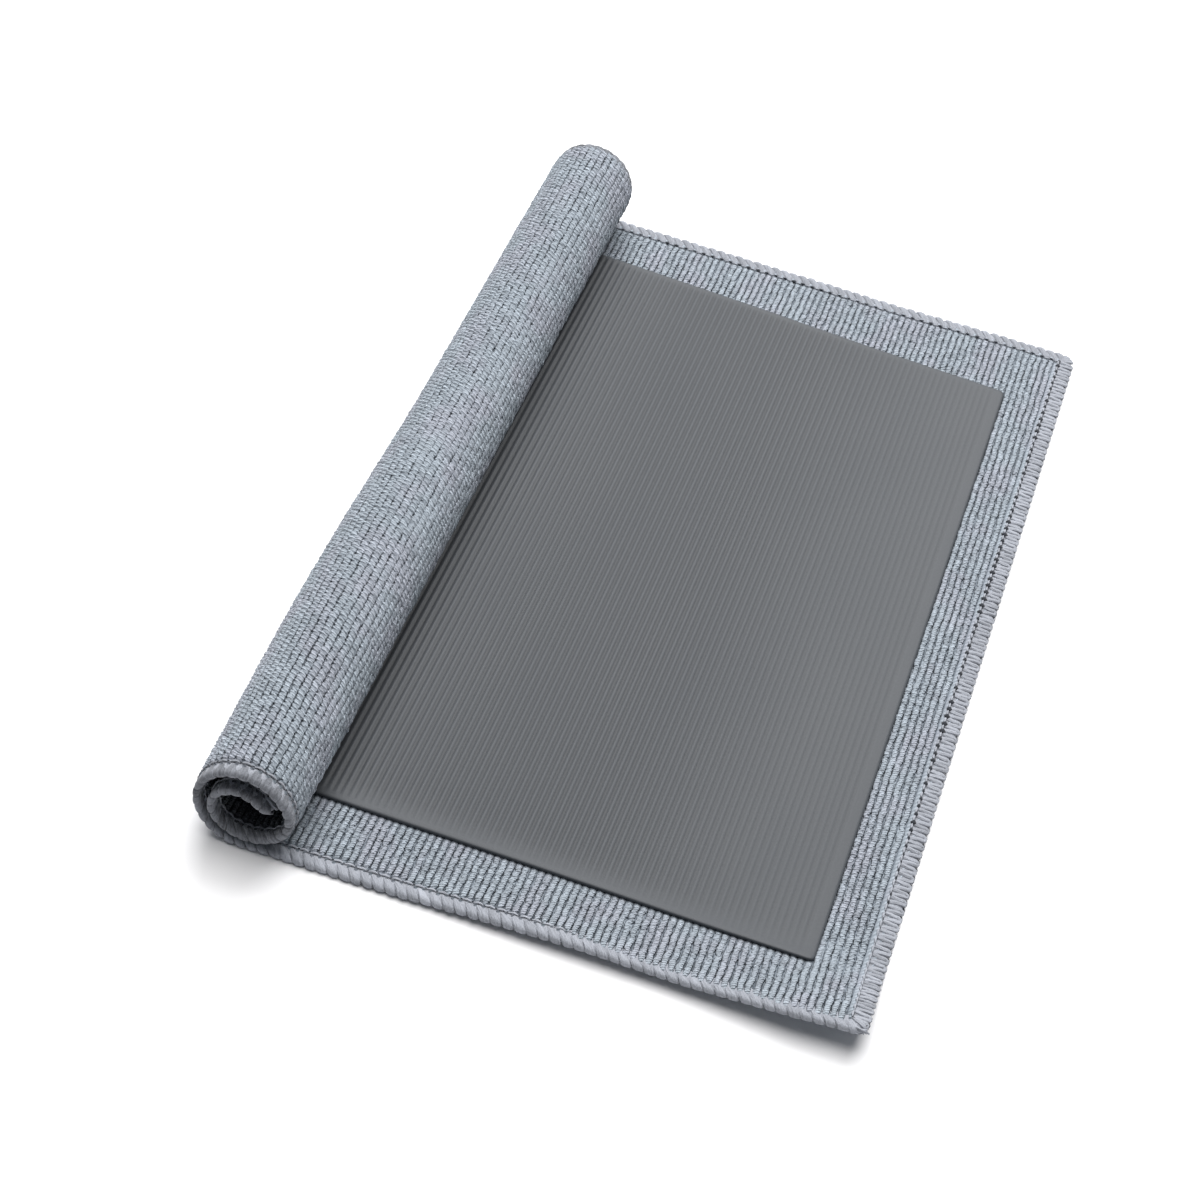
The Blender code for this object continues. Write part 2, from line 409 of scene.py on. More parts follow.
def knit_finish(name, loops_drawn):
    """Soft matt microfibre, with painted shade in the gaps between ribs and loops and deep in the roll. Where
    the loops aren't modelled they are drawn as colour and bump.
    """
    knit = bpy.context.scene.towel_knit
    finish = Finish(name, Roughness=0.95, Sheen_Weight=0.10, Sheen_Roughness=0.6, Specular_IOR_Level=0.1)
    vector, (rib_place, loop_place, shade) = finish.lay()
    tinted = finish.step(finish.noise(vector, (90.0, 50.0, 0.0), 2.0), 0.42, 0.66)
    cloudy = finish.noise(vector, (260.0, 190.0, 0.0), 2.0)
    fibres = finish.noise(vector, (1300.0, 2000.0, 0.0), 3.0, 0.7)
    tone = finish.mixed(tinted, colour(knit.yarn_colour), colour(knit.tint_colour))
    tone = finish.shaded(tone, 0.66 + 0.30 * shade + 0.20 * cloudy + 0.90 * (fibres - 0.5))
    if loops_drawn:
        across = (rib_place / knit.rib_pitch).fract() - 0.5
        hump = 1 - 4 * across * across
        phase = loop_place / knit.loop_pitch + across * knit.loop_slant
        loop = 0.5 - 0.5 * (phase * (2 * math.pi)).cosine()
        # painted shade: depth is low in the drawn gaps between the ribs and in the dips between loops
        depth = finish.step(hump, 0.0, 0.55) * (0.5 + 0.5 * loop)
        finish.bump(hump * (0.6 + 0.4 * loop) + 0.15 * fibres, 0.5 * MM)
    else:
        depth = finish.relief()
        # painted light and shade: the tone turns lighter and darker in turn along the twist of the loops'
        # strands, next to the bump
        twist = loop_place * 2 / knit.loop_pitch + rib_place * knit.loop_slant / knit.rib_pitch
        strand = 0.5 + 0.5 * ((twist + 0.7 * cloudy) * (2 * math.pi)).cosine()
        tone = finish.shaded(tone, 0.86 + 0.26 * strand)
        finish.bump(fibres + 0.5 * strand, 0.45 * MM)
    # painted shade: where depth is low the yarn colour goes over to the gap shade colour
    tone = finish.mixed(depth, colour(knit.gap_shade_colour), tone)
    # painted shade: the knit inside the roll, where the hollow lies in deep shade, is painted much darker
    inside = finish.step(rib_place, ROLL_OUTSIDE_END - 0.004, ROLL_OUTSIDE_END + 0.004)
    finish.feed(finish.surface.inputs["Base Color"], finish.shaded(tone, 1 - 0.82 * inside))
    return finish.material


def clay_finish():
    """Satin rubber, painted a little darker in the grooves between its ribs as shade."""
    clay = bpy.context.scene.towel_clay
    finish = Finish("clay rubber", Specular_IOR_Level=0.36)
    vector, (_, _, groove) = finish.lay()
    cloudy = finish.noise(vector, (30.0, 14.0, 0.0), 3.0)
    grain = finish.noise(vector, (1300.0, 1300.0, 0.0), 3.0)
    # painted shade: the grooves between the ribs are darker
    tone = finish.shaded(colour(clay.clay_colour), 0.60 + 0.12 * cloudy + 0.16 * grain - 0.24 * groove)
    finish.feed(finish.surface.inputs["Base Color"], tone)
    finish.feed(finish.surface.inputs["Roughness"], 0.50 + 0.12 * cloudy)
    finish.bump(grain, 0.03 * MM)
    return finish.material


def thread_finish():
    """Bulky soft thread with fine strands along it."""
    edging = bpy.context.scene.towel_edging
    finish = Finish("edging thread", Roughness=0.9, Sheen_Weight=0.15, Specular_IOR_Level=0.15)
    vector, (_, _, shade) = finish.lay()
    strands = finish.noise(vector, (1700.0, 240.0, 0.0), 2.0)
    fibres = finish.noise(vector, (3800.0, 2200.0, 0.0), 2.0)
    tone = 0.62 + 0.34 * shade + 0.60 * (strands - 0.5) + 0.50 * (fibres - 0.5)
    tone = finish.shaded(colour(edging.thread_colour), tone + 0.1)
    # painted shade: where relief is low, under the threads and in the needle holes, the colour goes over to
    # the thread shade colour
    depth = finish.step(finish.relief(), 0.05, 0.6)
    tone = finish.mixed(depth, colour(edging.thread_shade_colour), tone)
    finish.feed(finish.surface.inputs["Base Color"], tone)
    finish.bump(strands + 0.5 * fibres, 0.45 * MM)
    return finish.material


# The knit


def rib_centres(low, high):
    """The middles of the ribs that lie wholly between low and high."""
    pitch = bpy.context.scene.towel_knit.rib_pitch
    first, last = math.ceil(low / pitch), math.floor(high / pitch)
    return (np.arange(first, last) + 0.5) * pitch


def spaced(low, high, pitch):
    return np.linspace(low, high, max(2, math.ceil((high - low) / pitch) + 1))


def make_ground():
    """The knit's own sheet, with a shallow rib on both faces, from edging to edging."""
    knit = bpy.context.scene.towel_knit
    inset, row_pitch = 0.003, 0.0068
    column_pitch = knit.rib_pitch / 4
    u = np.arange(math.ceil(inset / column_pitch), (CLOTH_WIDTH - inset) / column_pitch) * column_pitch
    v = spaced(inset, CLOTH_LENGTH - inset, row_pitch)
    across, along = np.meshgrid(u, v)
    wave = 0.5 - 0.5 * np.cos(2 * np.pi * across / knit.rib_pitch)
    crest = HALF_CLOTH - 0.05 * MM
    height = knit.gap_floor + (crest - knit.gap_floor) * wave
    rest = np.full(across.size, 0.5)
    layers = [np.stack([across.ravel(), along.ravel(), side * height.ravel()], axis=1) for side in (-1, 1)]
    note = np.stack([across.ravel(), along.ravel(), rest, rest], axis=1)
    rows, columns = across.shape
    blocks = Blocks()
    faces = sheet_faces(rows, columns)
    blocks.add(np.concatenate(layers), np.concatenate([note, note]), *faces)
    return blocks.made("ribbed_cloth", knit_finish("knit ground", True), "knit")


# The width and height of a rib, the floor it stands on and the dip between two loops. slant is how many loops
# a loop leans as it crosses its rib. The shades say how much painted shade darkens a rib's sides and its
# dips,
# 1 for none.
RibStyle = namedtuple("RibStyle", "width height floor dip slant side_shade valley_shade unevenness")
BORDER_STYLE = RibStyle(1.90 * MM, 1.44 * MM, 0.64 * MM, 0.28 * MM, 0.45, 0.52, 0.68, 0.25)
ROLL_STYLE = RibStyle(2.46 * MM, 1.44 * MM, 0.80 * MM, 0.52 * MM, 0.88, 0.92, 0.26, 0.22)
# Where each loop of a rib has its rows of points, in shares of a loop, and how far it swells there
LOOP_ROWS = np.array([0.0, 0.22, 0.50, 0.78])
LOOP_SWELL = np.array([0.0, 0.75, 1.0, 0.60])
# Where a row has its points across the rib, in half widths
RIB_PROFILE = np.array([-1.0, -0.64, 0.0, 0.64, 1.0])
LEFT_FLANK = 0.200  # the u at which the left flank of the roll ends
FLANK_BLEND = 0.006
# Waves that add up to patches of brushed pile, a row for each: waves to a metre along u and v, and a start
PATCH_WAVES = np.random.default_rng(3).uniform((-75.0, -32.0, 0.0), (75.0, 32.0, 2 * math.pi), (7, 3))


def brushed(u, v, side):
    """0 where the loops stand clear, 1 where the pile is brushed flat: in patches, on the upper face along
    the front band, and on the left flank of the roll."""
    total = sum(np.sin(2 * math.pi * (u * across + v * along) + turn) for across, along, turn in PATCH_WAVES)
    if side > 0:
        patchy = 0.6
        worn = 1 - smooth(EDGING_WIDTH + 0.001, EDGING_WIDTH + 0.0055, v)
    else:
        patchy = 0.3
        worn = 0.5 * (1 - smooth(LEFT_FLANK - FLANK_BLEND, LEFT_FLANK + FLANK_BLEND, u))
    return np.maximum(patchy * smooth(0.6, 3.6, total), worn)


def add_rib(blocks, centre, low, high, side, style, chance):
    """One rib of slanted loops, closed underneath."""
    knit = bpy.context.scene.towel_knit
    loops = max(2, round((high - low) / knit.loop_pitch))
    place = np.append((np.arange(loops)[:, None] + LOOP_ROWS).ravel(), loops)
    loop = np.minimum(place.astype(int), loops - 1)
    drawn = chance.normal(0, style.unevenness, (2, loops + 1))
    slack, stray = (np.interp(place, np.arange(loops + 1), row) for row in drawn)
    lump = chance.normal(0, style.unevenness, loops)[loop]
    shade = chance.normal(0.5, 0.25, loops)[loop]
    ends = np.minimum(1.0, np.minimum(place, loops - place) / 0.7)
    v = low + (high - low) * (place + 0.6 * slack * ends) / loops
    flat = brushed(centre, v, side)
    swell = np.append(np.tile(LOOP_SWELL, loops), 0.0)
    swell = swell + (1 - swell) * 0.75 * flat
    half = 0.5 * style.width * (0.84 + 0.16 * swell + 0.3 * lump) * (0.75 + 0.25 * ends)
    if side < 0:  # the ribs on the roll are narrower towards its two ends
        half = half * (0.90 + 0.10 * smooth(0.04, 0.12, v) - 0.06 * smooth(0.19, 0.26, v))
    height = style.height - style.floor - style.dip * (1 - swell) + 0.5 * MM * lump * (1 - flat)
    height = np.maximum(0.12 * MM, height * (0.3 + 0.7 * ends))
    waves = np.sin(2 * math.pi * (v / 0.031 + centre / 0.08)) + np.sin(2 * math.pi * v / 0.013)
    drift = 0.06 * MM * waves
    arch = np.sqrt(1 - (0.98 * RIB_PROFILE) ** 2)
    slant = side * 0.5 * style.slant * knit.loop_pitch * style.width / knit.rib_pitch
    u_grid = centre + (drift + 0.5 * MM * stray)[:, None] + half[:, None] * RIB_PROFILE
    v_grid = v[:, None] + (slant * ends)[:, None] * RIB_PROFILE
    w_grid = style.floor + height[:, None] * arch
    inner = w_grid[1:-1, 1:-1]
    inner += chance.normal(0, 0.35 * style.unevenness * MM, inner.shape)
    # painted shade: a rib's sides and the dips between its loops are painted darker, less where the pile is
    # brushed flat
    side_shade = style.side_shade + (1 - style.side_shade) * arch
    valley_shade = style.valley_shade + (1 - style.valley_shade) * swell
    relief = side_shade * valley_shade[:, None]
    relief = relief + (1 - relief) * 0.35 * flat[:, None]
    lay = np.stack([u_grid, v_grid, side * w_grid], axis=-1).reshape(-1, 3)
    note = np.stack([u_grid, v_grid, shade[:, None] + 0 * u_grid, relief], axis=-1).reshape(-1, 4)
    blocks.add(lay, note, *tube_faces(1, len(place), len(RIB_PROFILE)))


def add_ribs(blocks, centres, v_low, v_high, side, style, chance):
    """Ribs on one face. v_low and v_high are numbers or one number for each rib."""
    lows = v_low + chance.uniform(-0.25 * MM, 0.35 * MM, len(centres))
    highs = v_high - chance.uniform(-0.25 * MM, 0.35 * MM, len(centres))
    for centre, low, high in zip(centres, lows, highs):
        add_rib(blocks, centre, low, high, side, style, chance)


def pad_back_edge(u):
    share = np.clip((FLAT_LENGTH - u) / (FLAT_LENGTH - MARGIN_RIGHT), 0.0, 1.0)
    return CLOTH_LENGTH - MARGIN_BACK_AT_ROLL - (MARGIN_BACK_AT_RIGHT - MARGIN_BACK_AT_ROLL) * share


def seam_shown(u):
    """1 near the roll, where the front seam shows, and 0 nearer the corner, where the pile hides it."""
    return smooth(0.060, 0.100, u)


def front_start(u):
    """Where the ribs start: at the front seam where it shows, and over it elsewhere."""
    return 1.8 * MM + 2.9 * MM * seam_shown(u)


def make_border_ribs(chance):
    """The ribs that show round the clay pad, on the cloth's upper face."""
    high = CLOTH_LENGTH - SEAM_DEPTH
    right = rib_centres(SEAM_DEPTH, MARGIN_RIGHT + 0.2 * MM)
    rest = rib_centres(right[-1], CLOTH_WIDTH - EDGING_WIDTH)
    blocks = Blocks()
    add_ribs(blocks, right, front_start(right), high, 1, BORDER_STYLE, chance)
    add_ribs(blocks, rest, front_start(rest), MARGIN_FRONT - 0.3 * MM, 1, BORDER_STYLE, chance)
    add_ribs(blocks, rest, pad_back_edge(rest) + 0.3 * MM, high, 1, BORDER_STYLE, chance)
    return blocks.made("border_ribs", knit_finish("knit loops", False), "knit")


def make_roll_ribs(chance):
    """The ribs on the outside of the roll, in two halves. At the back they run over the edging, nearly to its
    rim."""
    low, high = SEAM_DEPTH, CLOTH_LENGTH - 0.0016
    centres = rib_centres(FLAT_LENGTH - 0.008, ROLL_OUTSIDE_END + 0.002)
    middle = len(centres) // 2
    made = []
    for name, part in (("left", centres[:middle]), ("right", centres[middle:])):
        blocks = Blocks()
        add_ribs(blocks, part, low, high, -1, ROLL_STYLE, chance)
        made.append(blocks.made("roll_ribs_" + name, bpy.data.materials["knit loops"], "knit"))
    return made


# The clay pad


def rounded_corners(u, v, low_u, high_u, low_v, high_v, radius):
    """Draws the corners of a rectangular grid in to quarter circles."""
    near_u = np.minimum(u - low_u, high_u - u)
    near_v = np.minimum(v - low_v, high_v - v)
    a, b = np.clip(1 - near_u / radius, 0, 1), np.clip(1 - near_v / radius, 0, 1)
    scale = np.where((a > 0) & (b > 0), np.maximum(a, b) / np.maximum(1e-9, np.hypot(a, b)), 1.0)
    inward_u = np.where(u < (low_u + high_u) / 2, 1.0, -1.0)
    inward_v = np.where(v < (low_v + high_v) / 2, 1.0, -1.0)
    return u + inward_u * a * (1 - scale) * radius, v + inward_v * b * (1 - scale) * radius


def make_pad():
    """The clay pad: soft ribs that fade towards its edges, and a rounded rim."""
    clay = bpy.context.scene.towel_clay
    pitch = bpy.context.scene.towel_knit.rib_pitch
    low_u, high_u = MARGIN_RIGHT, CLOTH_WIDTH - MARGIN_INNER
    low_v, high_v = MARGIN_FRONT, CLOTH_LENGTH - MARGIN_BACK_AT_ROLL
    rim = np.array([0.0, 0.12, 0.35, 0.9, 2.0]) * MM
    columns_per_rib = 6
    inner_u = spaced(low_u + 0.003, high_u - 0.003, pitch / columns_per_rib)
    inner_v = spaced(low_v + 0.003, high_v - 0.003, 0.0055)
    u = np.concatenate([low_u + rim, inner_u, high_u - rim[::-1]])
    v = np.concatenate([low_v + rim, inner_v, high_v - rim[::-1]])
    u, v = (grid.ravel() for grid in np.meshgrid(u, v))
    inward = np.minimum(np.minimum(u - low_u, high_u - u), np.minimum(v - low_v, high_v - v))
    edge = np.sqrt(np.clip(1 - (1 - np.clip(inward / (0.9 * MM), 0, 1)) ** 2, 0, 1))
    fade = smooth(0.0015, 0.0055, v - low_v) * smooth(0.0005, 0.003, high_v - v)
    fade = fade * smooth(0.0, 0.004, u - low_u)
    strength = 0.45 + 0.70 * smooth(MARGIN_RIGHT, 0.090, u)
    groove = (0.5 + 0.5 * np.cos(2 * np.pi * u / pitch)) * fade * strength
    top = PAD_HIGH - 0.60 * MM * (1 - edge) - clay.rib_depth * groove
    bent_u, bent_v = rounded_corners(u, v, low_u, high_u, low_v, high_v, PAD_CORNER_RADIUS)
    bent_v = low_v + (bent_v - low_v) * (pad_back_edge(bent_u) - low_v) / (high_v - low_v)
    rows = len(np.unique(v))
    columns = len(u) // rows
    layers = [np.stack([bent_u, bent_v, w], axis=1) for w in (PAD_LOW + 0 * u, top)]
    # the groove note also paints shade into the clay's grooves
    note = np.stack([u, v, groove, edge], axis=1)
    faces = sheet_faces(rows, columns)
    blocks = Blocks()
    blocks.add(np.concatenate(layers), np.concatenate([note, note]), *faces)
    return blocks.made("clay_sheet", clay_finish(), "clay_rubber")


# The overlocked edge


def outline(arc):
    """(u, v, outward u, outward v, along u, along v) on the cloth's outline, for an array of lengths walked
    from the start of the front edge's straight run."""
    long_u, long_v = CLOTH_WIDTH - 2 * CORNER_RADIUS, CLOTH_LENGTH - 2 * CORNER_RADIUS
    bend = CORNER_RADIUS * math.pi / 2
    far_u, far_v = CLOTH_WIDTH - CORNER_RADIUS, CLOTH_LENGTH - CORNER_RADIUS
    sides = [(long_u, -90, CORNER_RADIUS, CORNER_RADIUS), (long_v, 0, far_u, CORNER_RADIUS)]
    sides += [(long_u, 90, far_u, far_v), (long_v, 180, CORNER_RADIUS, far_v)]
    arc = np.asarray(arc) % outline_length()
    found = np.zeros((6,) + arc.shape)
    walked = 0.0
    for length, facing, centre_u, centre_v in sides:
        straight = (arc >= walked) & (arc < walked + length)
        turning = (arc >= walked + length) & (arc < walked + length + bend)
        out = math.radians(facing)
        steps = arc - walked
        end_u, end_v = centre_u - math.sin(out) * length, centre_v + math.cos(out) * length
        for here, angle, base_u, base_v in (
            (straight, out + 0 * steps, centre_u - math.sin(out) * steps, centre_v + math.cos(out) * steps),
            (turning, out + (steps - length) / CORNER_RADIUS, end_u + 0 * steps, end_v + 0 * steps),
        ):
            out_u, out_v = np.cos(angle), np.sin(angle)
            edge_u, edge_v = base_u + CORNER_RADIUS * out_u, base_v + CORNER_RADIUS * out_v
            rows = np.stack([edge_u, edge_v, out_u, out_v, -out_v, out_u])
            found[:, here] = rows[:, here]
        walked += length + bend
    return found


def outline_length():
    return 2 * (CLOTH_WIDTH + CLOTH_LENGTH) - 8 * CORNER_RADIUS + 2 * math.pi * CORNER_RADIUS


def edge_runs():
    """(start, length) along the outline: the front edge, the edge inside the roll, the back and the right."""
    bend = CORNER_RADIUS * math.pi / 2
    lengths = [CLOTH_WIDTH - 2 * CORNER_RADIUS + bend, CLOTH_LENGTH - 2 * CORNER_RADIUS + bend] * 2
    return list(zip(np.cumsum([-0.5 * bend] + lengths[:3]), lengths))


Row = namedtuple("Row", "start pitch stitches")


def stitched(run, wanted_pitch):
    """Whole stitches along a run of the outline, as near as can be to the wanted pitch."""
    start, length = run
    stitches = round(length / wanted_pitch)
    return Row(start, length / stitches, stitches)


def on_band(arc, depth, w):
    """Layout points at a length along the outline, a depth in from it and a height."""
    u, v, out_u, out_v = outline(arc)[:4]
    return np.stack([u - out_u * depth, v - out_v * depth, w + 0 * u], axis=-1)


def along_band(arc):
    """The direction of the outline at each length along it."""
    _, _, _, _, along_u, along_v = outline(arc)
    return np.stack([along_u, along_v, 0 * along_u], axis=-1)


def make_edging_core(material):
    """The rounded edge of the cloth that the threads wrap, one closed ring."""
    stations = round(outline_length() / (1.5 * MM))
    arc = np.arange(stations) * outline_length() / stations
    upper = [(4.3, 0.8), (2.0, 0.9), (0.9, 0.75), (0.45, 0.35)]
    profile = upper + [(depth, -w) for depth, w in reversed(upper)]
    rings = np.stack([on_band(arc, depth * MM, w * MM) for depth, w in profile], axis=1)
    index = np.arange(stations * len(profile)).reshape(stations, len(profile))
    ahead, turned = np.roll(index, -1, axis=0), np.roll(index, -1, axis=1)
    quads = np.stack([index, turned, np.roll(ahead, -1, axis=1), ahead], axis=-1).reshape(-1, 4)
    lay = rings.reshape(-1, 3)
    blocks = Blocks()
    # painted shade: the core is a little darker than the threads, where it shows between them
    shade, relief = np.full(len(lay), 0.45), np.full(len(lay), 0.56)
    blocks.add(lay, np.stack([lay[:, 0], lay[:, 1], shade, relief], axis=1), quads)
    return blocks.made("edging_core", material, "edging_thread")


def rolled_up(u):
    """1 in the roll, where the thread lies in the shade, and 0 on the flat part."""
    return smooth(FLAT_LENGTH, FLAT_LENGTH + 0.02, u)


def wrap_profile(count, inner_depth, reach, rise):
    """(depth, w) down one wrap of thread: from its inner end on the upper face, round the edge, to the lower
    face. It stands out past the outline by reach, and over the cloth's middle by rise."""
    straight = inner_depth - rise
    total = 2 * straight + math.pi * rise
    walked = np.linspace(0, total, count)
    turn = np.clip((walked - straight) / rise, 0, math.pi)
    flat = np.maximum(straight - walked, walked - total + straight)
    return np.where(flat > 0, rise + flat, rise - (rise + reach) * np.sin(turn)), rise * np.cos(turn)


WRAP_REACH = -0.15 * MM  # just inside the outline
WRAP_RISE = 0.72 * MM


def make_wrapped_bundles(material, chance):
    """The front and back edges: plump leaning bundles of thread, each wrapped over the edge."""
    edging = bpy.context.scene.towel_edging
    stations = 15
    share = np.linspace(0, 1, stations)
    plump = np.sin(math.pi * share) ** 0.7
    blocks = Blocks()
    front, back = (edging.front_width, 0.5), (edging.band_width, 0.3)
    for run, (width, tone) in zip(edge_runs()[::2], (front, back)):
        depth, w = wrap_profile(stations, width, WRAP_REACH, WRAP_RISE)
        start, pitch, bundles = stitched(run, edging.bundle_pitch)
        middle = start + (np.arange(bundles) + 0.5) * pitch + chance.normal(0, 0.10 * MM, bundles)
        arc = middle[:, None] + edging.lean * np.maximum(0, 1 - 2 * share)
        centres = on_band(arc, depth, w)
        across = along_band(arc)
        ahead = np.gradient(centres, axis=1)
        over = np.cross(ahead, across)
        over /= np.linalg.norm(over, axis=-1, keepdims=True)
        rolled = rolled_up(centres[:, 0, 0])
        half_width = pitch * (0.20 + 0.29 * plump) * chance.normal(1.0, 0.04, (bundles, 1))
        half_width = half_width * (1 + 0.12 * rolled[:, None])
        height = MM * (0.16 + 0.54 * plump) * (1 - 0.4 * smooth(0.45, 0.7, share))
        height = height * chance.normal(1.0, 0.08, (bundles, 1)) * (1 - 0.22 * rolled[:, None])
        u, v = centres[:, :1, 0], centres[:, :1, 1]
        height = height * (0.66 + 0.34 * np.maximum(seam_shown(u), v > CLOTH_LENGTH / 2))
        # painted shade: the bundles in the roll are painted darker, as the roll shades them
        shade = chance.normal(tone, 0.16, bundles) - 1.2 * rolled
        add_tubes(blocks, centres, across, over, half_width, height, shade, ring=10)
    return blocks.made("edging_bundles", material, "edging_thread")


def make_looped_threads(material, chance):
    """The right-hand edge and the edge inside the roll: one C-shaped loop for each stitch, on each face."""
    edging = bpy.context.scene.towel_edging
    reach = np.linspace(-1, 1, 17)
    away = np.abs(reach)
    blocks = Blocks()
    for run in edge_runs()[1::2]:
        start, pitch, stitches = stitched(run, edging.loop_pitch)
        for face in (1, -1):
            middle = start + (np.arange(stitches) + 0.75 - 0.25 * face) * pitch
            middle = (middle + chance.normal(0, 0.12 * MM, stitches))[:, None]
            spread = 0.22 * np.sqrt(1 - (1 - np.minimum(1, away / 0.35)) ** 2) + 0.16 * smooth(0.5, 1.0, away)
            arc = middle + np.sign(reach) * spread * pitch * chance.normal(1.0, 0.14, (stitches, 1))
            depth = edging.band_width * np.clip((away - 0.06) / 0.94, 0, 1) ** 1.3 + 0.25 * MM
            w = face * MM * (0.45 + 0.45 * smooth(0, 0.25, away) - 0.25 * smooth(0.8, 1.0, away))
            centres = on_band(arc, depth + 0 * arc, w)
            ahead = np.gradient(centres, axis=1)
            ahead /= np.linalg.norm(ahead, axis=-1, keepdims=True)
            across = np.cross(ahead, np.array([0.0, 0.0, float(face)]))
            across /= np.maximum(1e-9, np.linalg.norm(across, axis=-1, keepdims=True))
            shade = np.clip(chance.normal(0.5, 0.2, stitches), 0, 1)
            over = np.cross(across, ahead)
            add_tubes(blocks, centres, across, over, 0.76 * MM, 0.40 * MM, shade, ring=8)
    return blocks.made("edging_loops", material, "edging_thread")


# How deep in from the outline a chain of stitches lies, half its width, and half sizes of its needle holes
Chain = namedtuple("Chain", "depth half_width hole_length hole_width")
FRONT_CHAIN = Chain(4.2 * MM, 0.44 * MM, 0.30 * MM, 0.14 * MM)
BACK_CHAIN = Chain(4.8 * MM, 0.24 * MM, 0.90 * MM, 0.46 * MM)
SIDE_CHAIN = Chain(4.8 * MM, 0.38 * MM, 0.92 * MM, 0.94 * MM)


def add_chain(blocks, row, chain, face, chance):
    """The thread of one chain, which dips into the knit at each stitch."""
    up = np.array([0.0, 0.0, float(face)])
    place = np.arange(4, 6 * row.stitches - 3) / 6
    arc = (row.start + place * row.pitch)[None]
    dip = 0.5 + 0.5 * np.cos(2 * math.pi * place)
    depth = chain.depth - 0.24 * MM * dip + chance.normal(0, 0.03 * MM, arc.shape)
    u = outline(arc)[0]
    sunk = 0.12 + 0.5 * (1 - seam_shown(u)) if chain is FRONT_CHAIN else 0.0
    centres = on_band(arc, depth, face * MM * (1.24 - 0.22 * dip ** 2 - sunk))
    outward = np.cross(along_band(arc), up)
    width = chain.half_width * (1 - 0.45 * dip)
    # painted shade: the chain is painted darker in the roll, as the roll shades it
    shade = 0.8 - 0.9 * rolled_up(u)
    add_tubes(blocks, centres, outward, up + 0 * centres, width, 0.24 * MM, shade, ring=5)


def add_needle_holes(blocks, row, chain, face, chance):
    """A short hollow at each stitch, painted dark as shade. Some gape, and they close towards the front
    right-hand corner.
    """
    up = np.array([0.0, 0.0, float(face)])
    holes = row.stitches - 1
    middle = row.start + np.arange(1, row.stitches) * row.pitch + chance.normal(0, 0.08 * MM, holes)
    arc = middle[:, None] + chain.hole_length * np.array([-1.0, 0.0, 1.0])
    centres = on_band(arc, chain.depth - 0.28 * MM, face * 1.28 * MM)
    outward = np.cross(along_band(arc), up)
    gaping = 0.55 + 0.45 * smooth(-1.0, 0.4, np.sin(middle / 0.0117) + np.sin(middle / 0.0071))
    off_corner = smooth(0.03, 0.09, np.hypot(*outline(middle)[:2]))
    gaping = (gaping * off_corner * chance.normal(1.0, 0.28, holes))[:, None]
    width = chain.hole_width * np.array([0.2, 1.0, 0.2]) * np.maximum(0.1, gaping)
    # painted shade: lift 0 paints the whole hollow in the thread shade colour
    add_tubes(blocks, centres, outward, up + 0 * centres, width, 0.12 * MM, np.zeros(holes), ring=5, lift=0.0)


def make_seam_chains(material, chance):
    """The thin thread along the inner side of each band, and the needle hole at each stitch, painted dark as
    shade. The roll's ribs hide the lower one at the back."""
    edging = bpy.context.scene.towel_edging
    blocks = Blocks()
    pitches = [edging.bundle_pitch, edging.loop_pitch] * 2
    chains = [FRONT_CHAIN, SIDE_CHAIN, BACK_CHAIN, SIDE_CHAIN]
    for run, pitch, chain in zip(edge_runs(), pitches, chains):
        row = stitched(run, pitch)
        for face in (1,) if chain is BACK_CHAIN else (1, -1):
            add_chain(blocks, row, chain, face, chance)
            add_needle_holes(blocks, row, chain, face, chance)
    return blocks.made("edging_seam_chains", material, "edging_thread")


# The middle of the frayed thread tail, from its root outwards: u, v and w
TAIL = np.array([(3.4, 1.3, 0.8), (2.4, 0.9, 1.2), (1.5, 0.7, 1.4), (0.7, 0.8, 1.3), (-0.2, 1.1, 0.8)]) * MM


def make_thread_tail(material, chance):
    """The frayed end of the thread at the front right-hand corner: a few short strands."""
    strands = 9
    share = np.linspace(0, 1, len(TAIL))[:, None]
    stray = chance.normal(0, 0.45 * MM, (strands, 1, 3)) * share
    centres = TAIL * chance.uniform(0.75, 1.05, (strands, 1, 1)) + stray
    ahead = np.gradient(centres, axis=1)
    across = np.cross(ahead, np.array([0.0, 0.0, 1.0]))
    across /= np.linalg.norm(across, axis=-1, keepdims=True)
    over = np.array([0.0, 0.0, 1.0]) + 0 * centres
    blocks = Blocks()
    add_tubes(blocks, centres, across, over, 0.26 * MM, 0.26 * MM, chance.normal(1.0, 0.2, strands), ring=6)
    return blocks.made("edging_tail", material, "edging_thread")


# The stage


FLOOR_HALF = 12.0
# Where the two lights stand. Both face the middle of the towel.
KEY_PLACE = (-0.08, 0.14, 1.0)
KEY_COLOUR = (1.0, 0.985, 0.97)
BACK_PLACE = (-0.10, 0.85, 0.95)
BACK_SIZE = 1.25
SKY_COLOUR = (0.88, 0.93, 1.0)
# The camera's place from the towel's front right-hand corner
CAMERA_PLACE = (-0.0161, -0.4056, 0.5421)


def make_floor(stage):
    finish = Finish("floor", Base_Color=colour(stage.floor_colour), Roughness=0.9, Specular_IOR_Level=0.0)
    mesh = bpy.data.meshes.new("floor")
    corners = [(-1, -1), (1, -1), (1, 1), (-1, 1)]
    mesh.from_pydata([(x * FLOOR_HALF, y * FLOOR_HALF, 0) for x, y in corners], [], [(0, 1, 2, 3)])
    mesh.materials.append(finish.material)
    floor = bpy.data.objects.new("floor", mesh)
    bpy.context.scene.collection.objects.link(floor)


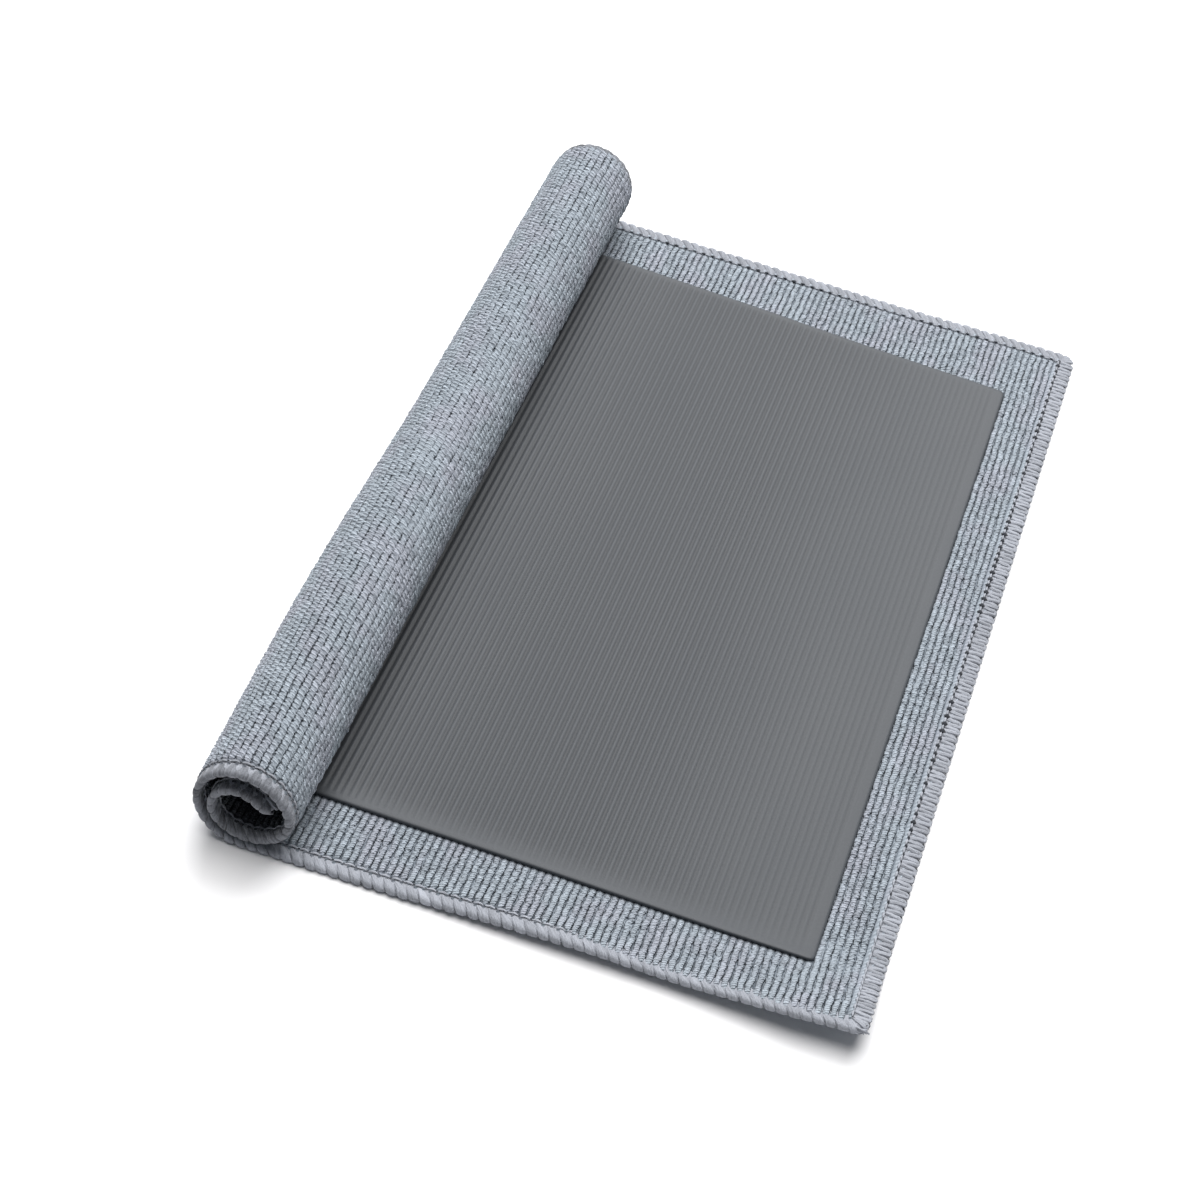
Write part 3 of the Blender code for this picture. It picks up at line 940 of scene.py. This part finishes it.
def make_lights(stage):
    world = bpy.data.worlds.new("pale surroundings")
    world.use_nodes = True
    background = world.node_tree.nodes["Background"]
    background.inputs["Color"].default_value = colour(SKY_COLOUR)
    background.inputs["Strength"].default_value = stage.sky_strength
    bpy.context.scene.world = world
    bpy.context.scene.view_settings.view_transform = "Standard"
    key = bpy.data.lights.new("overhead light", "SUN")
    key.energy, key.angle, key.color = stage.key_strength, stage.key_softness, KEY_COLOUR
    back = bpy.data.lights.new("back light", "AREA")
    back.energy, back.size = stage.back_power, BACK_SIZE
    for light, place in ((key, KEY_PLACE), (back, BACK_PLACE)):
        lamp = bpy.data.objects.new(light.name, light)
        lamp.location = place
        lamp.rotation_euler = (-Vector(place)).to_track_quat("-Z", "Y").to_euler()
        bpy.context.scene.collection.objects.link(lamp)


def make_camera(stage):
    """The camera stands in front, a little to the right, and is rolled about its own axis."""
    data = bpy.data.cameras.new("camera")
    data.sensor_width, data.lens = 36.0, stage.lens
    data.clip_start, data.clip_end = 0.01, 20.0
    camera = bpy.data.objects.new("camera", data)
    azimuth, elevation = stage.azimuth, stage.elevation
    away = math.cos(elevation)
    back = Vector((math.sin(azimuth) * away, -math.cos(azimuth) * away, math.sin(elevation)))
    level = Vector((0, 0, 1)).cross(back).normalized()
    upright = back.cross(level)
    right = math.cos(stage.roll) * level + math.sin(stage.roll) * upright
    up = math.cos(stage.roll) * upright - math.sin(stage.roll) * level
    turned = Matrix((right, up, back)).transposed().to_4x4()
    camera.matrix_world = Matrix.Translation(Vector(FRONT_RIGHT) + Vector(CAMERA_PLACE)) @ turned
    bpy.context.scene.collection.objects.link(camera)
    bpy.context.scene.camera = camera


# Settings


class KnitSettings(bpy.types.PropertyGroup):
    rib_pitch: bpy.props.FloatProperty(
        name="Rib pitch", description="Middle of one rib to the next", default=0.00204, unit="LENGTH")
    gap_floor: bpy.props.FloatProperty(
        name="Gap floor", description="Bottom of the gaps over the cloth's middle",
        default=0.00062, unit="LENGTH")
    loop_pitch: bpy.props.FloatProperty(
        name="Loop pitch", description="One loop to the next along a rib", default=0.00156, unit="LENGTH")
    loop_slant: bpy.props.FloatProperty(
        name="Loop slant", description="How many loops a strand moves on as it crosses its rib", default=0.88)
    yarn_colour: bpy.props.FloatVectorProperty(
        name="Yarn colour", description="Colour of the loops", default=(0.370, 0.418, 0.467), subtype="COLOR")
    tint_colour: bpy.props.FloatVectorProperty(
        name="Tint colour", description="Colour of the warmer patches of the pile",
        default=(0.382, 0.404, 0.461), subtype="COLOR")
    # painted shade: the colour painted into the gaps between ribs and loops
    gap_shade_colour: bpy.props.FloatVectorProperty(
        name="Gap shade colour", description="Colour between the ribs",
        default=(0.118, 0.140, 0.168), subtype="COLOR")


class ClaySettings(bpy.types.PropertyGroup):
    rib_depth: bpy.props.FloatProperty(
        name="Rib depth", description="Depth of the pad's ribs next to the roll",
        default=0.00028, unit="LENGTH")
    clay_colour: bpy.props.FloatVectorProperty(
        name="Clay colour", description="Colour of the clay rubber",
        default=(0.064, 0.071, 0.081), subtype="COLOR")


class EdgingSettings(bpy.types.PropertyGroup):
    front_width: bpy.props.FloatProperty(
        name="Front width", description="Width of the band of thread at the front",
        default=0.0037, unit="LENGTH")
    bundle_pitch: bpy.props.FloatProperty(
        name="Bundle pitch", description="One wrapped bundle to the next", default=0.0032, unit="LENGTH")
    loop_pitch: bpy.props.FloatProperty(
        name="Loop pitch", description="One side stitch to the next", default=0.00305, unit="LENGTH")
    band_width: bpy.props.FloatProperty(
        name="Band width", description="Width of the band of thread", default=0.0044, unit="LENGTH")
    lean: bpy.props.FloatProperty(
        name="Lean", description="How far a bundle leans along the edge on each face",
        default=0.0030, unit="LENGTH")
    thread_colour: bpy.props.FloatVectorProperty(
        name="Thread colour", description="Colour of the edging thread",
        default=(0.328, 0.345, 0.385), subtype="COLOR")
    # painted shade: the colour painted in the needle holes and on the shaded undersides of the threads
    thread_shade_colour: bpy.props.FloatVectorProperty(
        name="Thread shade colour", description="Colour in the needle holes and under the threads",
        default=(0.02, 0.023, 0.03), subtype="COLOR")


class StageSettings(bpy.types.PropertyGroup):
    floor_colour: bpy.props.FloatVectorProperty(
        name="Floor colour", description="Colour of the floor", default=(0.84, 0.84, 0.85), subtype="COLOR")
    key_strength: bpy.props.FloatProperty(
        name="Key light", description="Strength of the overhead light", default=2.9)
    key_softness: bpy.props.FloatProperty(
        name="Key softness", description="How wide the overhead light looks",
        default=math.radians(50), subtype="ANGLE")
    back_power: bpy.props.FloatProperty(
        name="Back light", description="Power of the soft light behind the towel in watts", default=23.5)
    sky_strength: bpy.props.FloatProperty(
        name="Surroundings", description="Strength of the pale surroundings", default=0.17)
    lens: bpy.props.FloatProperty(name="Lens", description="Focal length in millimetres", default=78.84)
    azimuth: bpy.props.FloatProperty(
        name="Azimuth", description="Camera's bearing", default=math.radians(10.004), subtype="ANGLE")
    elevation: bpy.props.FloatProperty(
        name="Elevation", description="Camera's tilt over the floor",
        default=math.radians(45.0), subtype="ANGLE")
    roll: bpy.props.FloatProperty(
        name="Roll", description="Camera's turn about its own axis",
        default=math.radians(11.303), subtype="ANGLE")


# Operators


class TOWEL_OT_knit(bpy.types.Operator):
    """Build the cloth and the ribs of loops that show on it"""

    bl_idname = "towel.knit"
    bl_label = "Knit"

    def execute(self, context):
        chance = np.random.default_rng(7)
        cloth = make_ground()
        border = make_border_ribs(chance)
        roll = make_roll_ribs(chance)
        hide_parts("cloth")
        return {"FINISHED"}


class TOWEL_OT_clay_pad(bpy.types.Operator):
    """Build the clay pad on the cloth's upper face"""

    bl_idname = "towel.clay_pad"
    bl_label = "Clay pad"

    def execute(self, context):
        pad = make_pad()
        width = CLOTH_WIDTH - MARGIN_RIGHT - MARGIN_INNER
        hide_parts("clay_pad")
        return {"FINISHED"}


class TOWEL_OT_edging(bpy.types.Operator):
    """Build the overlocked edge: its core, wrapped bundles, loops, seam chains and thread tail"""

    bl_idname = "towel.edging"
    bl_label = "Overlocked edge"

    def execute(self, context):
        chance = np.random.default_rng(11)
        material = thread_finish()
        core = make_edging_core(material)
        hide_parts("overlocked_edge")
        make_wrapped_bundles(material, chance)
        make_looped_threads(material, chance)
        make_seam_chains(material, chance)
        make_thread_tail(material, chance)
        return {"FINISHED"}


class TOWEL_OT_stage(bpy.types.Operator):
    """Set up the floor, the lights, the surroundings and the camera"""

    bl_idname = "towel.stage"
    bl_label = "Stage"

    def execute(self, context):
        stage = context.scene.towel_stage
        make_floor(stage)
        make_lights(stage)
        make_camera(stage)
        return {"FINISHED"}


class TOWEL_PT_panel(bpy.types.Panel):
    bl_idname = "TOWEL_PT_panel"
    bl_label = "Clay towel"
    bl_space_type = "VIEW_3D"
    bl_region_type = "UI"
    bl_category = "Towel"

    def draw(self, context):
        for group, operator in STEPS:
            box = self.layout.box()
            box.operator(operator)
            settings = getattr(context.scene, group)
            for name in settings.__annotations__:
                box.prop(settings, name)


STEPS = [
    ("towel_knit", "towel.knit"),
    ("towel_clay", "towel.clay_pad"),
    ("towel_edging", "towel.edging"),
    ("towel_stage", "towel.stage"),
]
GROUPS = {
    "towel_knit": KnitSettings,
    "towel_clay": ClaySettings,
    "towel_edging": EdgingSettings,
    "towel_stage": StageSettings,
}
OPERATORS = (TOWEL_OT_knit, TOWEL_OT_clay_pad, TOWEL_OT_edging, TOWEL_OT_stage)
CLASSES = (*GROUPS.values(), *OPERATORS, TOWEL_PT_panel)


def register():
    for cls in CLASSES:
        bpy.utils.register_class(cls)
    for name, group in GROUPS.items():
        setattr(bpy.types.Scene, name, bpy.props.PointerProperty(type=group))


def unregister():
    for name in GROUPS:
        delattr(bpy.types.Scene, name)
    for cls in reversed(CLASSES):
        bpy.utils.unregister_class(cls)


def main():
    register()
    bpy.ops.towel.knit()
    bpy.ops.towel.clay_pad()
    bpy.ops.towel.edging()
    bpy.ops.towel.stage()


if __name__ == "__main__":
    main()
